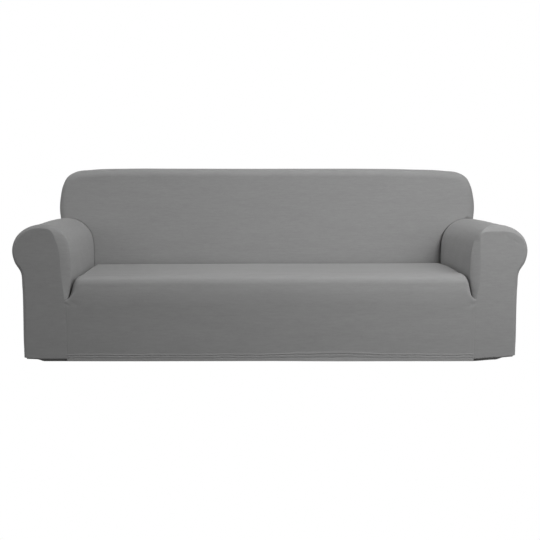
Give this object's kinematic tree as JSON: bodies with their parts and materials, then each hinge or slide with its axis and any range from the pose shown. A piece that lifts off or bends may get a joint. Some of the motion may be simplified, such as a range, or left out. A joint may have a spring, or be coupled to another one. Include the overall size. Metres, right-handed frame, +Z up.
{
  "type": "sofa slipcover",
  "caption": "Fitted stretch slipcover in the shape of a three-seat sofa with rolled arms, hollow and open at its hem.",
  "frame": {"origin": "centre of the footprint, at the level of the lowest hem", "axes": "+Z up, +X along the sofa's width, to the right of someone who faces it; the front faces -Y"},
  "size_m": [2.18, 0.8885, 0.8276],
  "materials": {
    "cover_fabric": "matt mid-grey stretch knit with a fine slubbed weave"
  },
  "bodies": {
    "root": {"seat_front": "cover_fabric", "inside_back": "cover_fabric", "outside_back": "cover_fabric", "arm_right": "cover_fabric", "arm_left": "cover_fabric", "arm_front_right": "cover_fabric", "arm_front_left": "cover_fabric"}
  },
  "joints": []
}
